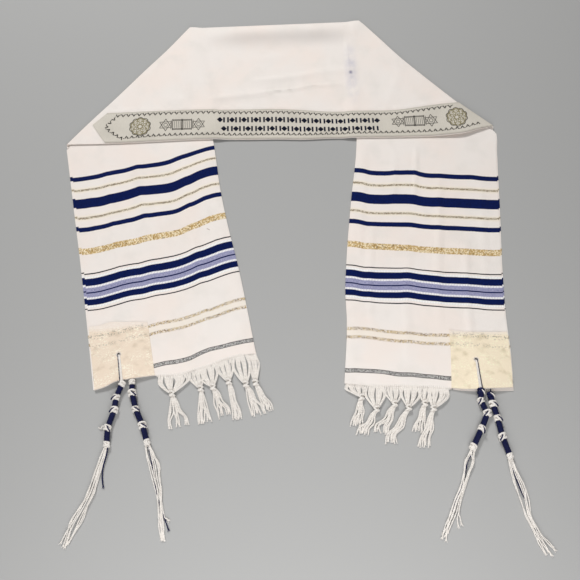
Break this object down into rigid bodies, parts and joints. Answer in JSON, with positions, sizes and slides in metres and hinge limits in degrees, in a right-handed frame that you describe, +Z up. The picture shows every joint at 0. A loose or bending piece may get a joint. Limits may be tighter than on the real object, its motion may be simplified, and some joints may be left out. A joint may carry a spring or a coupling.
{
  "type": "tallit prayer shawl",
  "caption": "Striped prayer shawl laid flat, folded lengthwise with both ends turned under, with neckband, corner patches, knotted fringe and wound corner tassels.",
  "frame": {"origin": "centre of the bounding box, on the surface the shawl lies on", "axes": "+X across the laid shawl to the right, +Y from the two ends towards the neck, +Z up off the surface"},
  "size_m": [0.7633, 0.9415, 0.0113],
  "materials": {
    "cloth": "fine matt weave with woven navy, lavender and gold stripes",
    "neckband": "close woven ribbon with slight sheen",
    "brocade": "cream and gold brocade",
    "fringe_thread": "loose twisted thread",
    "tzitzit_cord": "twisted white cord wound with navy cord"
  },
  "bodies": {
    "root": {"shawl_middle": "cloth", "shawl_left": "cloth", "shawl_right": "cloth", "atarah": "neckband", "corner_patch_left": "brocade", "corner_patch_right": "brocade", "fringe_left_top": "fringe_thread", "fringe_left_under": "fringe_thread", "fringe_right_top": "fringe_thread", "fringe_right_under": "fringe_thread", "tzitzit_left_top": "tzitzit_cord", "tzitzit_left_under": "tzitzit_cord", "tzitzit_right_top": "tzitzit_cord", "tzitzit_right_under": "tzitzit_cord"}
  },
  "joints": []
}
